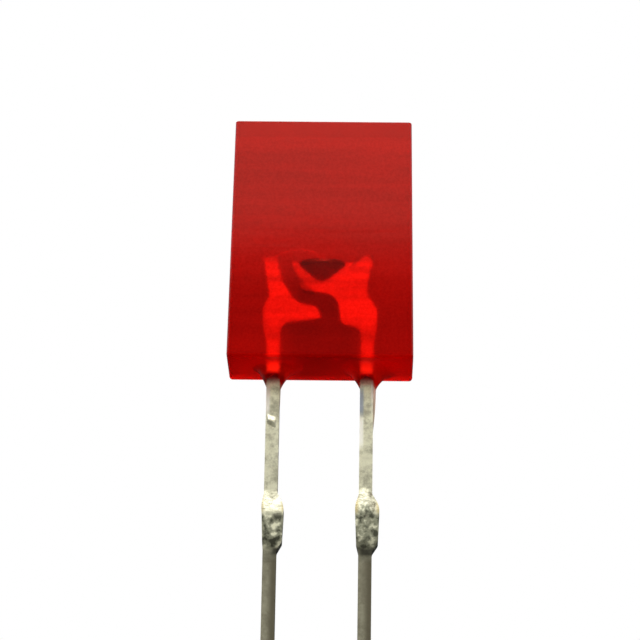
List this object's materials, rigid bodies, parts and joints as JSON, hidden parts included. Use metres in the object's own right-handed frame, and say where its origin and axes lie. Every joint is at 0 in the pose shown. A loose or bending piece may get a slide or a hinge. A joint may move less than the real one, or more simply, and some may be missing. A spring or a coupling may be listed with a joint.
{
  "type": "through hole led",
  "caption": "Rectangular red tinted through hole indicator LED: drafted epoxy block cast round a stamped leadframe with a coined reflector cup, on long square leads.",
  "frame": {"origin": "centre of the epoxy block's base, in the middle plane of the leadframe", "axes": "+Z along the optical axis, up the block and away from the leads; +X from the anode lead to the cathode lead; the front faces -Y"},
  "size_m": [0.005, 0.002, 0.035],
  "materials": {
    "red_epoxy": "cast red tinted epoxy, slightly diffused, glossy with faint flow marks",
    "plated_lead": "tin plated strip steel, semi bright, duller towards the lead ends",
    "die": "dark semiconductor crystal with sawn sides",
    "silver_adhesive": "cured silver filled adhesive, matte",
    "gold": "bright gold"
  },
  "bodies": {
    "root": {"epoxy_body": "red_epoxy", "cathode_leadframe": "plated_lead", "anode_leadframe": "plated_lead", "led_die": "die", "die_attach": "silver_adhesive", "bond_pad": "gold", "bond_wire": "gold"}
  },
  "joints": []
}
